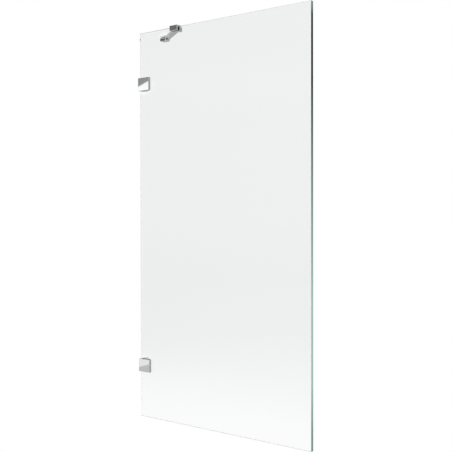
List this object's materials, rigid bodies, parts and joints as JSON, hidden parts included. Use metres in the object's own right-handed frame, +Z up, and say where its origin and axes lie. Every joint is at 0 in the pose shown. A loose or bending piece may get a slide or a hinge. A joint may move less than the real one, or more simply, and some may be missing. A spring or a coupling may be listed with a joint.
{
  "type": "bath screen",
  "caption": "Frameless bath screen: clear toughened glass pane on glass-to-wall brackets, steadied by a short swivelling stay from a clamp on its top edge to a wall foot.",
  "frame": {"origin": "middle of the lower bracket's pair of wall screw holes, on the wall plane x = 0", "axes": "+X along the pane away from the wall, +Y behind the pane on the side of the brackets' wall legs and the stay, +Z up"},
  "size_m": [0.802, 0.1585, 1.5105],
  "materials": {
    "clear_glass": "polished, clear, arrised edges, green tint along the edge",
    "bright_chrome": "bright polished chrome plate",
    "bright_steel": "plain stainless steel, satin",
    "black_rubber": "matt black elastomer",
    "white_nylon": "natural nylon",
    "black_nylon": "black nylon, semi-matt"
  },
  "bodies": {
    "screen": {"glass_panel": "clear_glass", "lower_bracket_body": "bright_chrome", "lower_front_plate": "bright_chrome", "lower_front_gasket": "black_rubber", "lower_rear_gasket": "black_rubber", "lower_hole_sleeves": "white_nylon", "lower_clamp_screws": "bright_steel", "upper_bracket_body": "bright_chrome", "upper_front_plate": "bright_chrome", "upper_front_gasket": "black_rubber", "upper_rear_gasket": "black_rubber", "upper_hole_sleeves": "white_nylon", "upper_clamp_screws": "bright_steel", "stay_clamp_body": "bright_chrome", "stay_clamp_liner": "black_rubber", "stay_pressure_plate": "bright_steel", "stay_grub_screws": "bright_steel", "clamp_pivot_screw": "bright_chrome", "clamp_pivot_washers": "black_nylon"},
    "arm": {"stay_arm": "bright_chrome", "arm_clamp_bush": "white_nylon", "arm_foot_bush": "white_nylon"},
    "foot": {"wall_foot_body": "bright_chrome", "foot_pivot_screw": "bright_chrome", "foot_pivot_washers": "black_nylon"}
  },
  "joints": [
    {"name": "arm_swivel", "type": "hinge", "parent": "screen", "child": "arm", "pos_m": [0.186, -0.0011, 1.298], "axis": [0, 0, 1], "range_deg": [-140, 27]},
    {"name": "foot_swivel", "type": "hinge", "parent": "arm", "child": "foot", "pos_m": [0.024, 0.104, 1.298], "axis": [0, 0, 1], "range_deg": [-110, 47]}
  ]
}
